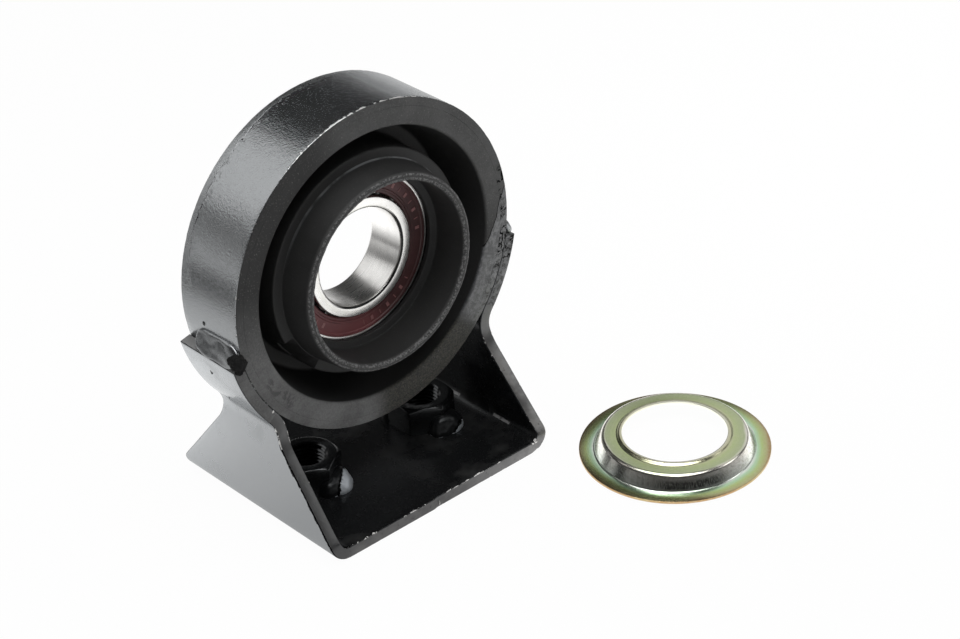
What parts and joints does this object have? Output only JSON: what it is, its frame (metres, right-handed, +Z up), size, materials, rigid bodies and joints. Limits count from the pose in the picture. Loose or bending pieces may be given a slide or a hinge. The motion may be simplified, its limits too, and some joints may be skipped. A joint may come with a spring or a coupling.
{
  "type": "driveshaft centre bearing",
  "caption": "Sealed ball bearing in a rubber mount and a steel ring, carried by a folded bracket with weld nuts, with its loose dust shield.",
  "frame": {"origin": "centre of the bracket's underside, midway between its sides and between its front and back edges", "axes": "+Z up from the bracket's base to the bearing, the bearing's axis along Y with the rubber collar and the front seal facing -Y, +X to the right seen from the front"},
  "size_m": [0.1737, 0.1476, 0.1424],
  "materials": {
    "black_paint": "satin",
    "black_rubber": "dull",
    "ground_steel": "ground",
    "seal_rubber": "satin",
    "pressed_steel": "pressed",
    "weld_metal": "rough",
    "passivated_zinc": "iridescent"
  },
  "bodies": {
    "mount": {"housing_ring": "black_paint", "rubber_mount": "black_rubber", "outer_ring": "ground_steel", "front_seal": "seal_rubber", "rear_seal": "seal_rubber", "bracket": "black_paint", "weld_nut_left": "black_paint", "weld_nut_right": "black_paint", "nut_weld_left_front": "weld_metal", "nut_weld_left_back": "weld_metal", "nut_weld_right_front": "weld_metal", "nut_weld_right_back": "weld_metal", "ring_weld_left": "weld_metal", "ring_weld_right": "weld_metal", "dust_shield": "passivated_zinc"},
    "inner_race": {"inner_ring": "ground_steel"},
    "cage": {"cage_front": "pressed_steel", "cage_rear": "pressed_steel", "rivet_1": "pressed_steel", "rivet_2": "pressed_steel", "rivet_3": "pressed_steel", "rivet_4": "pressed_steel", "rivet_5": "pressed_steel", "rivet_6": "pressed_steel", "rivet_7": "pressed_steel", "rivet_8": "pressed_steel", "rivet_9": "pressed_steel", "rivet_10": "pressed_steel", "rivet_11": "pressed_steel"},
    "rolling_ball_1": {"ball_1": "ground_steel"},
    "rolling_ball_2": {"ball_2": "ground_steel"},
    "rolling_ball_3": {"ball_3": "ground_steel"},
    "rolling_ball_4": {"ball_4": "ground_steel"},
    "rolling_ball_5": {"ball_5": "ground_steel"},
    "rolling_ball_6": {"ball_6": "ground_steel"},
    "rolling_ball_7": {"ball_7": "ground_steel"},
    "rolling_ball_8": {"ball_8": "ground_steel"},
    "rolling_ball_9": {"ball_9": "ground_steel"},
    "rolling_ball_10": {"ball_10": "ground_steel"},
    "rolling_ball_11": {"ball_11": "ground_steel"}
  },
  "joints": [
    {"name": "inner_ring_spin", "type": "hinge", "parent": "mount", "child": "inner_race", "pos_m": [0, 0.00165, 0.084], "axis": [0, 1, 0], "continuous": true},
    {"name": "cage_spin", "type": "hinge", "parent": "mount", "child": "cage", "pos_m": [0, 0.00165, 0.084], "axis": [0, 1, 0], "continuous": true},
    {"name": "ball_1_spin", "type": "hinge", "parent": "cage", "child": "rolling_ball_1", "pos_m": [0.02425, 0.00165, 0.084], "axis": [0, 1, 0], "continuous": true},
    {"name": "ball_2_spin", "type": "hinge", "parent": "cage", "child": "rolling_ball_2", "pos_m": [0.0204, 0.00165, 0.09711], "axis": [0, 1, 0], "continuous": true},
    {"name": "ball_3_spin", "type": "hinge", "parent": "cage", "child": "rolling_ball_3", "pos_m": [0.01007, 0.00165, 0.10606], "axis": [0, 1, 0], "continuous": true},
    {"name": "ball_4_spin", "type": "hinge", "parent": "cage", "child": "rolling_ball_4", "pos_m": [-0.00345, 0.00165, 0.108], "axis": [0, 1, 0], "continuous": true},
    {"name": "ball_5_spin", "type": "hinge", "parent": "cage", "child": "rolling_ball_5", "pos_m": [-0.01588, 0.00165, 0.10233], "axis": [0, 1, 0], "continuous": true},
    {"name": "ball_6_spin", "type": "hinge", "parent": "cage", "child": "rolling_ball_6", "pos_m": [-0.02327, 0.00165, 0.09083], "axis": [0, 1, 0], "continuous": true},
    {"name": "ball_7_spin", "type": "hinge", "parent": "cage", "child": "rolling_ball_7", "pos_m": [-0.02327, 0.00165, 0.07717], "axis": [0, 1, 0], "continuous": true},
    {"name": "ball_8_spin", "type": "hinge", "parent": "cage", "child": "rolling_ball_8", "pos_m": [-0.01588, 0.00165, 0.06567], "axis": [0, 1, 0], "continuous": true},
    {"name": "ball_9_spin", "type": "hinge", "parent": "cage", "child": "rolling_ball_9", "pos_m": [-0.00345, 0.00165, 0.06], "axis": [0, 1, 0], "continuous": true},
    {"name": "ball_10_spin", "type": "hinge", "parent": "cage", "child": "rolling_ball_10", "pos_m": [0.01007, 0.00165, 0.06194], "axis": [0, 1, 0], "continuous": true},
    {"name": "ball_11_spin", "type": "hinge", "parent": "cage", "child": "rolling_ball_11", "pos_m": [0.0204, 0.00165, 0.07089], "axis": [0, 1, 0], "continuous": true}
  ],
  "couplings": [
    {"joint": "cage_spin", "follows": "inner_ring_spin", "ratio": 0.41814},
    {"joint": "ball_1_spin", "follows": "inner_ring_spin", "ratio": -2.9723},
    {"joint": "ball_2_spin", "follows": "inner_ring_spin", "ratio": -2.9723},
    {"joint": "ball_3_spin", "follows": "inner_ring_spin", "ratio": -2.9723},
    {"joint": "ball_4_spin", "follows": "inner_ring_spin", "ratio": -2.9723},
    {"joint": "ball_5_spin", "follows": "inner_ring_spin", "ratio": -2.9723},
    {"joint": "ball_6_spin", "follows": "inner_ring_spin", "ratio": -2.9723},
    {"joint": "ball_7_spin", "follows": "inner_ring_spin", "ratio": -2.9723},
    {"joint": "ball_8_spin", "follows": "inner_ring_spin", "ratio": -2.9723},
    {"joint": "ball_9_spin", "follows": "inner_ring_spin", "ratio": -2.9723},
    {"joint": "ball_10_spin", "follows": "inner_ring_spin", "ratio": -2.9723},
    {"joint": "ball_11_spin", "follows": "inner_ring_spin", "ratio": -2.9723}
  ]
}
